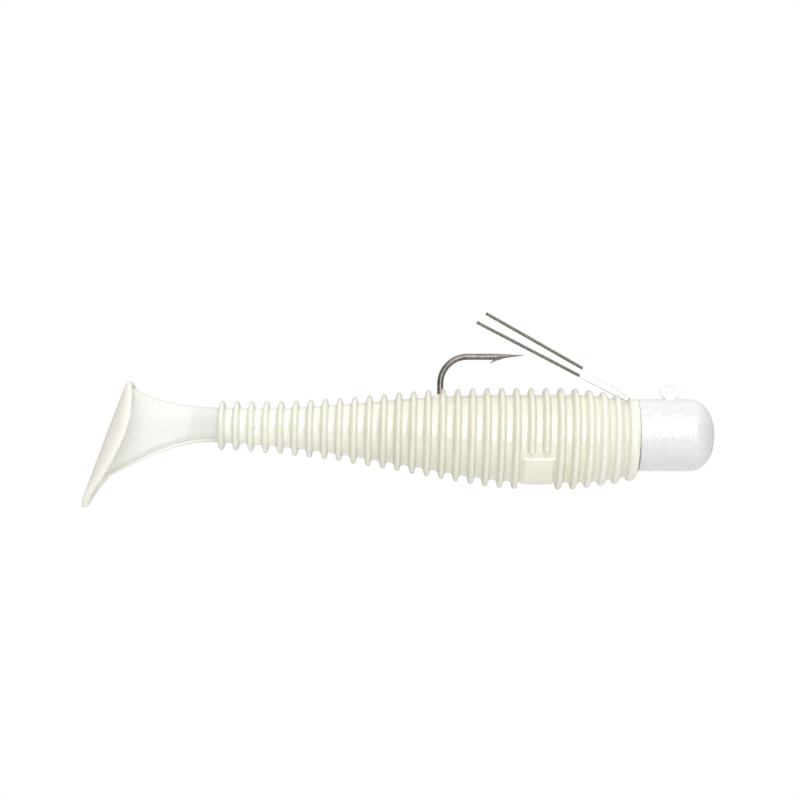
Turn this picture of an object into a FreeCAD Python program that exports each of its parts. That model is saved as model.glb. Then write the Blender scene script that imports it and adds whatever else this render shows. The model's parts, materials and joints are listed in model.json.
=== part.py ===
# Ribbed soft plastic swimbait on a round-nosed jig head with a two-wire weed guard.
#
# Millimetres. The origin is the centre of the line-tie eye. +X runs to the nose, +Y to the bait's left,
# +Z up, to the side that the hook point is on.
# The soft body's axis slopes up by body_tilt towards the tail. Its ribs are numbered from the tail.

import FreeCAD
import Part
import math
import os

SIZES = {
    # jig head: a cylinder along X with an ellipsoidal nose and a keeper collar behind it
    "head_radius": 5.76,
    "head_axis_z": -7.14,
    "head_back_x": -5.2,
    "nose_root_x": 3.01,
    "nose_length": 3.97,
    "collar_radius": 2.2,
    "collar_length": 8.0,
    "keeper_radius": 3.0,
    "keeper_length": 2.0,
    "keeper_back_x": -11.6,
    "fit_gap": 0.02,
    # hook: the eye's axis is Y
    "wire_radius": 0.5,
    "eye_ring_radius": 1.23,
    "eye_wire_radius": 0.43,
    "eye_bore_radius": 0.83,
    "leg_top_z": -1.4,
    "leg_bend_radius": 1.5,
    "heel_x": -36.75,
    "heel_bend_radius": 4.8,
    "crown_z": 5.41,
    "crown_bend_radius": 4.32,
    "point_back_x": -28.75,
    "point_length": 5.4,
    "point_rise": 4.14,
    "point_radius": 0.05,
    "barb_x": -27.3,
    "barb_z": 5.3,
    "barb_length": 1.72,
    "barb_radius": 0.28,
    "barb_tip_radius": 0.04,
    "barb_turn": 236.5,
    # weed guard
    "guard_wire_radius": 0.265,
    "guard_inner_x": -1.2,
    "guard_joint_x": -9.07,
    "guard_joint_gap": 0.12,
    "guard_root_y": 0.85,
    "guard_splay": 0.0978,
    "right_root_z": -1.85,
    "right_root_slope": 0.659,
    "right_tip_slope": 0.5622,
    "right_tip_x": -29.5,
    "left_root_z": -2.3,
    "left_root_slope": 0.5,
    "left_tip_slope": 0.5242,
    "left_tip_x": -30.75,
    "left_pressed_slope": 0.262,
    "guard_groove_radius": 0.4,
    # soft body core and ribs
    "body_tilt": 2.05,
    "axis_ref_x": -12.4,
    "axis_ref_z": -7.84,
    "lip_x": -4.9,
    "rib_zero_x": -71.64,
    "rib_pitch": 2.344,
    "front_rib_pitch": 2.25,
    "rib_half_width": 0.55,
    "front_rib_half_width": 0.8,
    "rib_bevel_width": 0.33,
    "rib_bevel_height": 0.4,
    "rib_height": 1.18,
    "front_rib_height": 0.92,
    "core_tail_radius": 2.76,
    "core_swell": 4.24,
    "swell_start_x": -75.0,
    "swell_length": 54.0,
    "swell_power": 2.5,
    "front_taper": 1.3,
    "front_taper_x": -15.5,
    "front_taper_length": 9.0,
    # smooth belly panel
    "panel_radius": 7.25,
    "panel_top_z": -10.8,
    "rib_stop_z": -9.3,
    # blocks that trim the belly and the lip: wider and taller than the body
    "block_width": 24.0,
    "block_height": 12.0,
    # flex gaps
    "ridge_gap": 0.06,
    "gap_reach": 9.6,
    "stem_gap_reach": 2.7,
    "gap_height": 12.0,
    "lift_swing": 10.0,
    "swing_one": 10.0,
    "swing_two": 13.0,
    "swing_three": 15.0,
    "swing_four": 17.0,
    "stem_swing": 30.0,
    "paddle_swing": 30.0,
    "swing_margin": 0.6,
    "stem_joint_x": -73.2,
    "paddle_joint_x": -83.0,
    # tail paddle
    "paddle_x": -89.95,
    "paddle_z": -8.65,
    "paddle_tilt": 20.6,
    "paddle_half_length": 10.85,
    "paddle_half_width": 7.2,
    "paddle_thickness": 1.4,
    "paddle_cup_radius": 12.0,
}

RIB_COUNT = 29
LAST_EVEN_RIB = 24
FRONT_RIBS = (25, 26, 27, 28)
PANEL_RIBS = (21, 22)
# node name, first rib, last rib, towards the tail last
BODY_PIECES = (
    ("body_front", 14, 28),
    ("body_section_1", 12, 13),
    ("body_section_2", 9, 11),
    ("body_section_3", 6, 8),
    ("body_section_4", 3, 5),
    ("body_section_5", 0, 2),
)
# stations along the stem: x, top z, bottom z, half thickness, tilt of the section
STEM_STATIONS = {
    "neck": ((-71.5, -2.75, -8.25, 2.6, 0.0), (-73.2, -2.68, -8.3, 2.2, 0.0)),
    "stem": (
        (-73.2, -2.68, -8.3, 2.2, 0.0),
        (-75.2, -2.57, -8.4, 1.75, 0.0),
        (-77.7, -2.33, -8.75, 1.4, 0.0),
        (-80.3, -1.85, -9.45, 1.2, 0.0),
        (-83.0, -0.98, -10.4, 1.1, 0.0),
    ),
    "flare": (
        (-83.0, -0.98, -10.4, 1.1, 0.0),
        (-89.3, 0.2, -14.4, 0.95, SIZES["paddle_tilt"]),
    ),
}

doc = FreeCAD.newDocument("swimbait")
sheet = doc.addObject("Spreadsheet::Sheet", "Sizes")
for row, (alias, value) in enumerate(SIZES.items(), start=1):
    sheet.set("A%d" % row, alias)
    sheet.set("B%d" % row, str(value))
    sheet.setAlias("B%d" % row, alias)
station_row = len(SIZES) + 1
doc.recompute()


def bind(obj, prop, expression):
    """Drive a property from the sheet; @name stands for the cell called name."""
    obj.setExpression(prop, expression.replace("@", "Sizes."))


def turn(axis, degrees):
    """A rotation about a row axis."""
    return FreeCAD.Rotation(FreeCAD.Vector(*axis), degrees)


ACROSS = (0, 1, 0)
UP = (0, 0, 1)
ALONG = (1, 0, 0)
TILT = turn(ACROSS, SIZES["body_tilt"])
TO_NOSE = turn(ACROSS, 90)
BODY_TO_NOSE = turn(ACROSS, 90 + SIZES["body_tilt"])


def add(kind, label, sizes, at=("0", "0", "0"), rotation=None):
    """A primitive with its sizes and its position bound to the sheet."""
    obj = doc.addObject(kind, label)
    obj.Label = label
    obj.Placement = FreeCAD.Placement(FreeCAD.Vector(), rotation or FreeCAD.Rotation())
    for prop, expression in sizes.items():
        bind(obj, prop, expression)
    for letter, expression in zip("xyz", at):
        bind(obj, "Placement.Base." + letter, expression)
    return obj


def fuse(label, shapes):
    """One solid from several."""
    obj = doc.addObject("Part::MultiFuse", label)
    obj.Label = label
    obj.Shapes = shapes
    return obj


def cut(label, base, tools):
    """A solid less one or more tools."""
    obj = doc.addObject("Part::Cut", label)
    obj.Label = label
    obj.Base = base
    obj.Tool = tools[0] if len(tools) == 1 else fuse(label + "_tools", tools)
    return obj


def common(label, base, tool):
    """What two solids share."""
    obj = doc.addObject("Part::Common", label)
    obj.Label = label
    obj.Base = base
    obj.Tool = tool
    return obj


# ---------------------------------------------------------------- hook

def hook_wire(label, extra, eye_radius):
    """The hook's wire from its eye to the start of its point, thicker by extra."""
    thick = "@wire_radius + %s" % extra
    bend = {"Radius2": thick, "Angle3": "90"}
    upright = turn(ALONG, 90)
    inner_x = "-@leg_bend_radius"
    inner_z = "@head_axis_z + @leg_bend_radius"
    heel_x = "@heel_x + @heel_bend_radius"
    heel_z = "@head_axis_z + @heel_bend_radius"
    crown_x = "@heel_x + @crown_bend_radius"
    crown_z = "@crown_z - @crown_bend_radius"
    return [
        add("Part::Torus", label + "_eye",
            {"Radius1": "@eye_ring_radius", "Radius2": eye_radius}, rotation=upright),
        add("Part::Cylinder", label + "_leg",
            {"Radius": thick, "Height": "@leg_top_z - (%s)" % inner_z}, ("0", "0", inner_z)),
        add("Part::Torus", label + "_leg_bend",
            dict(bend, Radius1="@leg_bend_radius"), (inner_x, "0", inner_z), upright * turn(UP, 270)),
        add("Part::Cylinder", label + "_shank",
            {"Radius": thick, "Height": "%s - (%s)" % (inner_x, heel_x)},
            (heel_x, "0", "@head_axis_z"), TO_NOSE),
        add("Part::Torus", label + "_heel",
            dict(bend, Radius1="@heel_bend_radius"), (heel_x, "0", heel_z), upright * turn(UP, 180)),
        add("Part::Cylinder", label + "_back",
            {"Radius": thick, "Height": "%s - (%s)" % (crown_z, heel_z)}, ("@heel_x", "0", heel_z)),
        add("Part::Torus", label + "_crown",
            dict(bend, Radius1="@crown_bend_radius"), (crown_x, "0", crown_z), upright * turn(UP, 90)),
    ]


def make_hook():
    """One bent wire: eye, leg, shank, bend, barbed point."""
    pieces = hook_wire("wire", "0", "@eye_wire_radius")
    crown_x = "@heel_x + @crown_bend_radius"
    pieces.append(add("Part::Cylinder", "wire_front",
                      {"Radius": "@wire_radius", "Height": "@point_back_x - (%s)" % crown_x},
                      (crown_x, "0", "@crown_z"), TO_NOSE))
    pieces.append(add("Part::Sphere", "wire_knee", {"Radius": "@wire_radius"},
                      ("@point_back_x", "0", "@crown_z")))
    pieces.append(add("Part::Cone", "wire_point",
                      {"Radius1": "@wire_radius", "Radius2": "@point_radius", "Height": "@point_length"},
                      ("@point_back_x", "0", "@crown_z"), turn(ACROSS, 90 - SIZES["point_rise"])))
    pieces.append(add("Part::Cone", "wire_barb",
                      {"Radius1": "@barb_radius", "Radius2": "@barb_tip_radius", "Height": "@barb_length"},
                      ("@barb_x", "0", "@barb_z"), turn(ACROSS, SIZES["barb_turn"])))
    bore = add("Part::Cylinder", "eye_bore", {"Radius": "@eye_bore_radius", "Height": "4"},
               ("0", "2", "0"), turn(ALONG, 90))
    return cut("hook", fuse("hook_solid", pieces), [bore])


# ---------------------------------------------------------------- weed guard

def guard_line(side, name, z_slope, x_from, x_to, radius, label):
    """A straight length of one guard wire between two x positions, running back, out and up."""
    tip_part = z_slope.endswith("tip_slope")
    slope = SIZES[z_slope]
    splay = SIZES["guard_splay"]
    direction = FreeCAD.Vector(-1, side * splay, slope)
    root_z = "(@%s_root_z + (@head_back_x - @guard_joint_x) * @%s_root_slope)" % (name, name)
    if tip_part:
        start_z = "%s + (@guard_joint_x - (%s)) * @%s" % (root_z, x_from, z_slope)
    else:
        start_z = "@%s_root_z + (@head_back_x - (%s)) * @%s" % (name, x_from, z_slope)
    start_y = "%d * (@guard_root_y + (@head_back_x - (%s)) * @guard_splay)" % (side, x_from)
    height = "((%s) - (%s)) * sqrt(1 + @guard_splay ^ 2 + @%s ^ 2)" % (x_from, x_to, z_slope)
    return add("Part::Cylinder", label, {"Radius": radius, "Height": height},
               (x_from, start_y, start_z), FreeCAD.Rotation(FreeCAD.Vector(0, 0, 1), direction))


def make_guard(side, name):
    """One guard wire, as a root fixed in the head and a free length beyond the joint."""
    root = guard_line(side, name, name + "_root_slope", "@guard_inner_x",
                      "@guard_joint_x + @guard_joint_gap / 2", "@guard_wire_radius",
                      "guard_wire_%s_root" % name)
    free = guard_line(side, name, name + "_tip_slope", "@guard_joint_x - @guard_joint_gap / 2",
                      "@%s_tip_x" % name, "@guard_wire_radius", "guard_wire_%s" % name)
    return root, free


# ---------------------------------------------------------------- jig head

def make_head():
    """The cast head with its keeper collar, bored for the hook and the guard wires."""
    axis = ("0", "@head_axis_z")
    solid = fuse("head_solid", [
        add("Part::Cylinder", "head_barrel",
            {"Radius": "@head_radius", "Height": "@nose_root_x - @head_back_x"},
            ("@head_back_x",) + axis, TO_NOSE),
        add("Part::Ellipsoid", "head_nose",
            {"Radius1": "@nose_length", "Radius2": "@head_radius", "Radius3": "@head_radius"},
            ("@nose_root_x",) + axis, TO_NOSE),
        add("Part::Cylinder", "collar",
            {"Radius": "@collar_radius", "Height": "@collar_length + 1"},
            ("@head_back_x - @collar_length",) + axis, TO_NOSE),
        add("Part::Cone", "keeper",
            {"Radius1": "@collar_radius", "Radius2": "@keeper_radius", "Height": "@keeper_length"},
            ("@keeper_back_x",) + axis, TO_NOSE),
    ])
    holes = hook_wire("hook_hole", "@fit_gap", "@eye_wire_radius + @fit_gap")
    holes += [
        guard_line(side, name, name + "_root_slope", "@guard_inner_x + 0.05", "@head_back_x - 1",
                   "@guard_wire_radius + @fit_gap", name + "_guard_hole")
        for side, name in ((-1, "right"), (1, "left"))
    ]
    return cut("jig_head", solid, holes)


# ---------------------------------------------------------------- soft body

def rib_x(number):
    """Where a rib's centre crosses the body axis; number may be fractional."""
    even = min(number, LAST_EVEN_RIB)
    return "(@rib_zero_x + %s * @rib_pitch + %s * @front_rib_pitch)" % (even, number - even)


def axis_z(x):
    """Height of the body axis at x."""
    return "(@axis_ref_z - ((%s) - @axis_ref_x) * tan(@body_tilt))" % x


def core_radius(x):
    """Radius of the body between its ribs."""
    swell = "max(0; min(1; ((%s) - @swell_start_x) / @swell_length))" % x
    taper = "max(0; (%s) - @front_taper_x) / @front_taper_length" % x
    return ("@core_tail_radius + @core_swell * pow(sin(90 * %s); @swell_power)"
            " - @front_taper * pow(%s; 2)" % (swell, taper))


def on_axis(x):
    """A position on the body axis."""
    return (x, "0", axis_z(x))


def core_slice(label, x_low, x_high):
    """A conical slice of the core."""
    return add("Part::Cone", label,
               {"Radius1": core_radius(x_low), "Radius2": core_radius(x_high),
                "Height": "((%s) - (%s)) / cos(@body_tilt)" % (x_high, x_low)},
               on_axis(x_low), BODY_TO_NOSE)


def make_rib(number):
    """A disc with bevelled edges standing on the core."""
    x = rib_x(number)
    front = "front_" if number in FRONT_RIBS else ""
    height = "@%srib_height" % front
    half = "@%srib_half_width" % front
    rim = "(%s) + %s" % (core_radius(x), height)
    edge = rim + " - @rib_bevel_height"
    # each length of the rib, from the tail side: name, rear radius, front radius, rear end, front end
    crest = "(%s - @rib_bevel_width)" % half
    lengths = (
        ("rear", edge, rim, "-" + half, "-" + crest),
        ("crest", rim, rim, "-" + crest, crest),
        ("front", rim, edge, crest, half),
    )
    label = "rib_%d" % number
    pieces = []
    for name, rear, front, low, high in lengths:
        kind = "Part::Cylinder" if name == "crest" else "Part::Cone"
        sizes = {"Radius": rim} if name == "crest" else {"Radius1": rear, "Radius2": front}
        sizes["Height"] = "%s - (%s)" % (high, low)
        start = "(%s) + (%s) * cos(@body_tilt)" % (x, low)
        pieces.append(add(kind, "%s_%s" % (label, name), sizes, on_axis(start), BODY_TO_NOSE))
    whole = fuse(label, pieces)
    if number not in PANEL_RIBS:
        return whole
    below = add("Part::Box", label + "_stop",
                {"Length": "4", "Width": "@block_width", "Height": "@block_height"},
                ("(%s) - 2" % x, "-@block_width / 2", "@rib_stop_z - @block_height"))
    return cut(label + "_short", whole, [below])


def make_panel():
    """The smooth raised panel on the belly."""
    x_low = rib_x(20)
    x_high = rib_x(23)
    band = add("Part::Cylinder", "panel_band",
               {"Radius": "@panel_radius", "Height": "((%s) - (%s)) / cos(@body_tilt)" % (x_high, x_low)},
               on_axis(x_low), BODY_TO_NOSE)
    below = add("Part::Box", "panel_block",
                {"Length": "12", "Width": "@block_width", "Height": "@block_height"},
                ("(%s) - 2" % x_low, "-@block_width / 2", "@panel_top_z - @block_height"))
    return common("panel", band, below)


def gap(label, x, swing, reach, sideways, rotation):
    """The two wedges that open a flex gap; it widens away from the joint's axis."""
    half = "(@ridge_gap / 2 + %s * tan((@%s + @swing_margin) / 2))" % (reach, swing)
    sizes = {
        "Xmin": "-@ridge_gap / 2", "Xmax": "@ridge_gap / 2", "X2min": "-" + half, "X2max": half,
        "Ymin": "0", "Ymax": reach,
        "Zmin": "-@gap_height", "Zmax": "@gap_height", "Z2min": "-@gap_height", "Z2max": "@gap_height",
    }
    about = FreeCAD.Rotation() if sideways else turn(ALONG, 90)
    place = on_axis(x)
    return [add("Part::Wedge", label + side, sizes, place, rotation * about * turn(UP, angle))
            for side, angle in (("_a", 0), ("_b", 180))]


def stem_part(name):
    """A length of the flat stem, lofted through ellipses bound to their own cells."""
    global station_row
    sections = []
    for number, station in enumerate(STEM_STATIONS[name], start=1):
        aliases = ["%s_%s_%s" % (name, word, "abcdefgh"[number - 1])
                   for word in ("station_x", "top_z", "bottom_z", "half_thickness")]
        for alias, value in zip(aliases, station):
            sheet.set("A%d" % station_row, alias)
            sheet.set("B%d" % station_row, str(value))
            sheet.setAlias("B%d" % station_row, alias)
            station_row += 1
        x, top, bottom, half = ("@" + alias for alias in aliases)
        tilt = station[4]
        slant = math.cos(math.radians(tilt))
        sections.append(add("Part::Ellipse", "%s_section_%d" % (name, number),
                            {"MajorRadius": "(%s - %s) / 2 / %s" % (top, bottom, slant), "MinorRadius": half},
                            (x, "0", "(%s + %s) / 2" % (top, bottom)), turn(ACROSS, tilt - 90)))
    loft = doc.addObject("Part::Loft", name + "_loft")
    loft.Label = name + "_loft"
    loft.Sections = sections
    loft.Solid = True
    return loft


def body_channels():
    """What the soft body is moulded or pierced around: collar, keeper, hook wire and guard roots."""
    axis = ("0", "@head_axis_z")
    tools = hook_wire("hook_channel", "@fit_gap", "@eye_wire_radius")[1:]
    tools.append(add("Part::Cylinder", "collar_channel",
                     {"Radius": "@collar_radius + @fit_gap", "Height": "@collar_length + 1"},
                     ("@head_back_x - @collar_length - @fit_gap",) + axis, TO_NOSE))
    tools.append(add("Part::Cone", "keeper_channel",
                     {"Radius1": "@collar_radius + @fit_gap", "Radius2": "@keeper_radius + @fit_gap",
                      "Height": "@keeper_length + 2 * @fit_gap"},
                     ("@keeper_back_x - @fit_gap",) + axis, TO_NOSE))
    # the lip ends flat against the back of the head
    tools.append(add("Part::Box", "lip_face",
                     {"Length": "5", "Width": "@block_width", "Height": "2 * @block_height"},
                     ("@head_back_x - @fit_gap", "-@block_width / 2", "@head_axis_z - @block_height")))
    for side, name in ((-1, "right"), (1, "left")):
        tools.append(guard_line(side, name, name + "_root_slope", "@head_back_x + 1",
                                "@guard_joint_x - 4", "@guard_groove_radius", name + "_groove"))
    # the left wire, pressed down to its limit, lies in this groove
    pressed = FreeCAD.Vector(-1, SIZES["guard_splay"], SIZES["left_pressed_slope"])
    tools.append(add("Part::Cylinder", "left_groove_low",
                     {"Radius": "@guard_groove_radius", "Height": "6"},
                     ("@guard_joint_x", "@guard_root_y + (@head_back_x - @guard_joint_x) * @guard_splay",
                      "@left_root_z + (@head_back_x - @guard_joint_x) * @left_root_slope"),
                     FreeCAD.Rotation(FreeCAD.Vector(0, 0, 1), pressed)))
    return tools


def make_body():
    """The soft moulding, cut into one solid per flex zone."""
    swings = ("lift_swing", "swing_one", "swing_two", "swing_three", "swing_four")
    gaps = []
    for number, swing in enumerate(swings):
        x = rib_x(BODY_PIECES[number][1] - 0.5)
        gaps.append(gap("flex_gap_%d" % (number + 1), x, swing, "@gap_reach", number > 0, TILT))
    stem_gap = gap("stem_gap", "@stem_joint_x", "stem_swing", "@stem_gap_reach", True, FreeCAD.Rotation())
    paddle_gap = gap("paddle_gap", "@paddle_joint_x", "paddle_swing", "@stem_gap_reach", True,
                     FreeCAD.Rotation())
    gaps.append(stem_gap)
    nodes = []
    for piece, (name, first, last) in enumerate(BODY_PIECES):
        solids = []
        for number in range(first, last + 1):
            x_low = rib_x(number - 0.5)
            x_high = "@lip_x" if number == RIB_COUNT - 1 else rib_x(number + 0.5)
            if number == 0:
                x_low = rib_x(0)
            solids.append(core_slice("core_%d" % number, x_low, x_high))
            solids.append(make_rib(number))
        tools = list(gaps[piece])
        if piece:
            tools += gaps[piece - 1]
        else:
            solids.append(make_panel())
            tools += body_channels()
        if first == 0:
            solids.append(stem_part("neck"))
        nodes.append(cut(name, fuse(name + "_solid", solids), tools))
    nodes.append(cut("tail_stem", stem_part("stem"), stem_gap + paddle_gap))
    nodes.append(cut("tail_paddle", fuse("paddle_solid", [stem_part("flare"), make_disc()]), paddle_gap))
    return nodes


def make_disc():
    """The paddle: an elliptical disc, cupped forward about its long axis."""
    tilt = turn(ACROSS, SIZES["paddle_tilt"])
    reach = "(@paddle_half_length + 2)"
    centre = ("@paddle_x + @paddle_cup_radius * cos(@paddle_tilt) - %s * sin(@paddle_tilt)" % reach, "0",
              "@paddle_z - @paddle_cup_radius * sin(@paddle_tilt) - %s * cos(@paddle_tilt)" % reach)
    height = "2 * " + reach
    back = add("Part::Cylinder", "paddle_back",
               {"Radius": "@paddle_cup_radius + @paddle_thickness / 2", "Height": height}, centre, tilt)
    face = add("Part::Cylinder", "paddle_face",
               {"Radius": "@paddle_cup_radius - @paddle_thickness / 2", "Height": height}, centre, tilt)
    outline = add("Part::Ellipse", "paddle_outline",
                  {"MajorRadius": "@paddle_half_length", "MinorRadius": "@paddle_half_width"},
                  ("@paddle_x", "0", "@paddle_z"), turn(ACROSS, SIZES["paddle_tilt"] - 90))
    prism = doc.addObject("Part::Extrusion", "paddle_prism")
    prism.Label = "paddle_prism"
    prism.Base = outline
    prism.DirMode = "Normal"
    bind(prism, "LengthFwd", "6 * @paddle_thickness")
    prism.Symmetric = True
    prism.Solid = True
    return common("paddle_disc", cut("paddle_shell", back, [face]), prism)


# ---------------------------------------------------------------- build, check and write

right_root, right_free = make_guard(-1, "right")
left_root, left_free = make_guard(1, "left")
nodes = [make_head(), make_hook(), right_root, left_root, right_free, left_free] + make_body()
doc.recompute()

for obj in doc.Objects:
    for state in obj.State:
        if state in ("Invalid", "Error"):
            raise RuntimeError("%s is %s" % (obj.Label, state))
for obj in nodes:
    if obj.Shape.isNull() or not obj.Shape.isValid() or len(obj.Shape.Solids) != 1:
        raise RuntimeError("%s has no single valid solid (%d)" % (obj.Label, len(obj.Shape.Solids)))

os.makedirs("parts", exist_ok=True)
for obj in nodes:
    obj.Shape.exportStep("parts/%s.step" % obj.Label)
    box = obj.Shape.BoundBox
    print("%-24s volume %8.2f  x %7.2f %7.2f  y %6.2f %6.2f  z %7.2f %7.2f" % (
        obj.Label, obj.Shape.Volume, box.XMin, box.XMax, box.YMin, box.YMax, box.ZMin, box.ZMax))
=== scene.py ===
"""A soft plastic swimbait on a jig head with a wire weed guard, seen from its right side.

The light is a white studio's. Lengths are in metres, and MM turns millimetres into them.
"""

import json
import math

import bpy
import numpy as np
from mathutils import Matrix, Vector


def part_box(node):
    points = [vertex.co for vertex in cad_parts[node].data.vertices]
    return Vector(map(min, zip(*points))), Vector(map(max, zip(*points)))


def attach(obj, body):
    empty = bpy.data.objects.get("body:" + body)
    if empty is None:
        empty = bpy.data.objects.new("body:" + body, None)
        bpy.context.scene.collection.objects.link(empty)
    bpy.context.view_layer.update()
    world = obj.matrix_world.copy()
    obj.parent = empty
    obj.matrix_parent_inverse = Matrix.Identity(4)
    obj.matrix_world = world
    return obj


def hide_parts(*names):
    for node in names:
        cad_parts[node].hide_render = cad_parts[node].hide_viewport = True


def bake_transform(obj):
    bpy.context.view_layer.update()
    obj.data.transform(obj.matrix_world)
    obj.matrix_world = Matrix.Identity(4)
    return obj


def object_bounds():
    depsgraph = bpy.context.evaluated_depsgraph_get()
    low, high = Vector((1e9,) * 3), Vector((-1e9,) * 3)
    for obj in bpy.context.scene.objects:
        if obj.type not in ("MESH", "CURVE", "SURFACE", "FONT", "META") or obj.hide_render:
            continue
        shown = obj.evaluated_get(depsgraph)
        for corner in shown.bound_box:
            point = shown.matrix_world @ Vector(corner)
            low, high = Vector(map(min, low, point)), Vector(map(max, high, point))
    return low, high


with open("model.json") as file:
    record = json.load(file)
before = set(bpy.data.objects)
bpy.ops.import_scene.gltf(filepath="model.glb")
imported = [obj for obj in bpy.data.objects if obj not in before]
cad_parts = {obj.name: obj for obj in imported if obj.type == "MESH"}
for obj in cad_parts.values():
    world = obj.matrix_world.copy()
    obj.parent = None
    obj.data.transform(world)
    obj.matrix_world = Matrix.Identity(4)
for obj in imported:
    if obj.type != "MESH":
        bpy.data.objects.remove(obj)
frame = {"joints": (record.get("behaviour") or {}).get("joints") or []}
cad_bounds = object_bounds()

MM = 0.001
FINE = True
JOINTS = {j["name"]: np.array(j["pos_m"]) for j in frame["joints"]}


# ------------------------------------------------------------------ frame anchors

def smooth(x, low_edge, high_edge):
    t = np.clip((x - low_edge) / (high_edge - low_edge), 0, 1)
    return t * t * (3 - 2 * t)


def low(node):
    return np.array(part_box(node)[0])


def high(node):
    return np.array(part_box(node)[1])


SWAY_1 = JOINTS["body_sway_1"]
SWAY_4 = JOINTS["body_sway_4"]
PITCH = (SWAY_1[0] - SWAY_4[0]) / 9
FRONT_PITCH = 2.25 * MM
LAST_EVEN_RIB = 24
SLOPE = (SWAY_1[2] - SWAY_4[2]) / (SWAY_1[0] - SWAY_4[0])
RIB_TILT = math.radians(1.6)
HEAD_BACK = high("body_front")[0]
HEAD_RADIUS = (high("jig_head")[2] - low("jig_head")[2]) / 2
HEAD_AXIS = (high("jig_head")[2] + low("jig_head")[2]) / 2
NOSE = high("jig_head")[0]
HOOK_WIRE = 0.5 * MM


def rib_x(number):
    """Where a rib, or a groove if number ends in a half, crosses the body axis."""
    even = np.minimum(number, LAST_EVEN_RIB)
    return SWAY_4[0] + (even - 2.5) * PITCH + (number - even) * FRONT_PITCH


def axis_z(x):
    """Height of the body's axis: a straight slope, a little low at the belly and high at the head."""
    sag = 0.40 * np.exp(-((x - rib_x(19.5)) / (4.5 * PITCH)) ** 2)
    lift = 0.14 + 0.12 * smooth(x, rib_x(24), rib_x(28))
    return SWAY_4[2] + (x - SWAY_4[0]) * SLOPE + (lift - sag) * MM


# ------------------------------------------------------------------ mesh helpers

def add_mesh(name, points, faces, material, body=None, attributes=None, sharp_rings=()):
    """A smooth mesh object from numpy points and a list of faces.

    sharp_rings gives the first and one past the last point of each ring whose edges stay sharp.
    """
    mesh = bpy.data.meshes.new(name)
    mesh.from_pydata([tuple(p) for p in points], [], faces)
    mesh.update()
    mesh.polygons.foreach_set("use_smooth", [True] * len(mesh.polygons))
    if sharp_rings:
        ends = np.empty(2 * len(mesh.edges), dtype=np.int32)
        mesh.edges.foreach_get("vertices", ends)
        ends = ends.reshape(-1, 2)
        sharp = np.zeros(len(ends), dtype=bool)
        for first, last in sharp_rings:
            sharp |= np.all((ends >= first) & (ends < last), axis=1)
        mesh.edges.foreach_set("use_edge_sharp", sharp)
    for key, values in (attributes or {}).items():
        layer = mesh.attributes.new(key, "FLOAT", "POINT")
        layer.data.foreach_set("value", np.asarray(values, dtype=np.float32))
    obj = bpy.data.objects.new(name, mesh)
    bpy.context.scene.collection.objects.link(obj)
    mesh.materials.append(material)
    if body:
        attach(obj, body)
    return obj


def closed_grid(points, rows, columns, flip=False):
    """Faces between rings of points stored one after another, with both ends closed.

    Each end gets a point at its ring's middle. flip turns the faces over.
    """
    faces = []
    for r in range(rows - 1):
        for c in range(columns):
            a = r * columns + c
            b = r * columns + (c + 1) % columns
            faces.append((a, b, b + columns, a + columns))
    base = (rows - 1) * columns
    first = points[:columns].mean(axis=0)
    last = points[base:base + columns].mean(axis=0)
    points = np.vstack([points, first, last])
    a, b = len(points) - 2, len(points) - 1
    for c in range(columns):
        d = (c + 1) % columns
        faces += [(d, c, a), (base + c, base + d, b)]
    if flip:
        faces = [face[::-1] for face in faces]
    return points, faces


def carried_frames(path):
    """Two unit vectors across a path at each point, turned as little as possible along it."""
    tangent = np.gradient(path, axis=0)
    tangent /= np.linalg.norm(tangent, axis=1)[:, None]
    side = np.cross(tangent[0], (0.0, 1.0, 0.0))
    if np.linalg.norm(side) < 0.1:
        side = np.cross(tangent[0], (1.0, 0.0, 0.0))
    sides = []
    for t in tangent:
        side = side - t * np.dot(side, t)
        side = side / np.linalg.norm(side)
        sides.append(side)
    sides = np.array(sides)
    return sides, np.cross(tangent, sides)


def tube_points(path, radii, segments):
    """Rings round a path; radii is one per point, or one per point and segment."""
    sides, ups = carried_frames(path)
    angle = np.linspace(0, 2 * math.pi, segments, endpoint=False)
    radii = np.asarray(radii, dtype=float)
    if radii.ndim == 1:
        radii = np.repeat(radii[:, None], segments, axis=1)
    across = (sides[:, None, :] * np.cos(angle)[None, :, None]
              + ups[:, None, :] * np.sin(angle)[None, :, None])
    return (path[:, None, :] + across * radii[:, :, None]).reshape(-1, 3)


def tube(name, path, radii, segments, material, body=None):
    path = np.asarray(path, dtype=float)
    points, faces = closed_grid(tube_points(path, radii, segments), len(path), segments)
    return add_mesh(name, points, faces, material, body)


def arc(centre, radius, start, end, count):
    """Points of an arc in the XZ plane; angles in degrees from +X towards +Z."""
    angle = np.radians(np.linspace(start, end, count))
    return np.stack([centre[0] + radius * np.cos(angle), np.full(count, centre[1]),
                     centre[2] + radius * np.sin(angle)], axis=1)


# ------------------------------------------------------------------ materials

# the beads on the front ribs are counted in millimetres round a circle of this radius
BEAD_CIRCLE = 7.9
BEAD_SPACING = 0.42


def new_material(name):
    material = bpy.data.materials.new(name)
    material.use_nodes = True
    nodes = material.node_tree.nodes
    return material, nodes, material.node_tree.links, nodes["Principled BSDF"]


def node(nodes, kind, inputs=None, **settings):
    made = nodes.new(kind)
    for key, value in settings.items():
        setattr(made, key, value)
    for key, value in (inputs or {}).items():
        made.inputs[key].default_value = value
    return made


def ramp(nodes, links, source, stops):
    """A colour ramp fed by a socket; stops are (position, colour)."""
    made = nodes.new("ShaderNodeValToRGB")
    elements = made.color_ramp.elements
    while len(elements) < len(stops):
        elements.new(0.5)
    for element, (position, colour) in zip(elements, stops):
        element.position = position
        element.color = (*colour, 1.0)
    links.new(source, made.inputs["Fac"])
    return made


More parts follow.
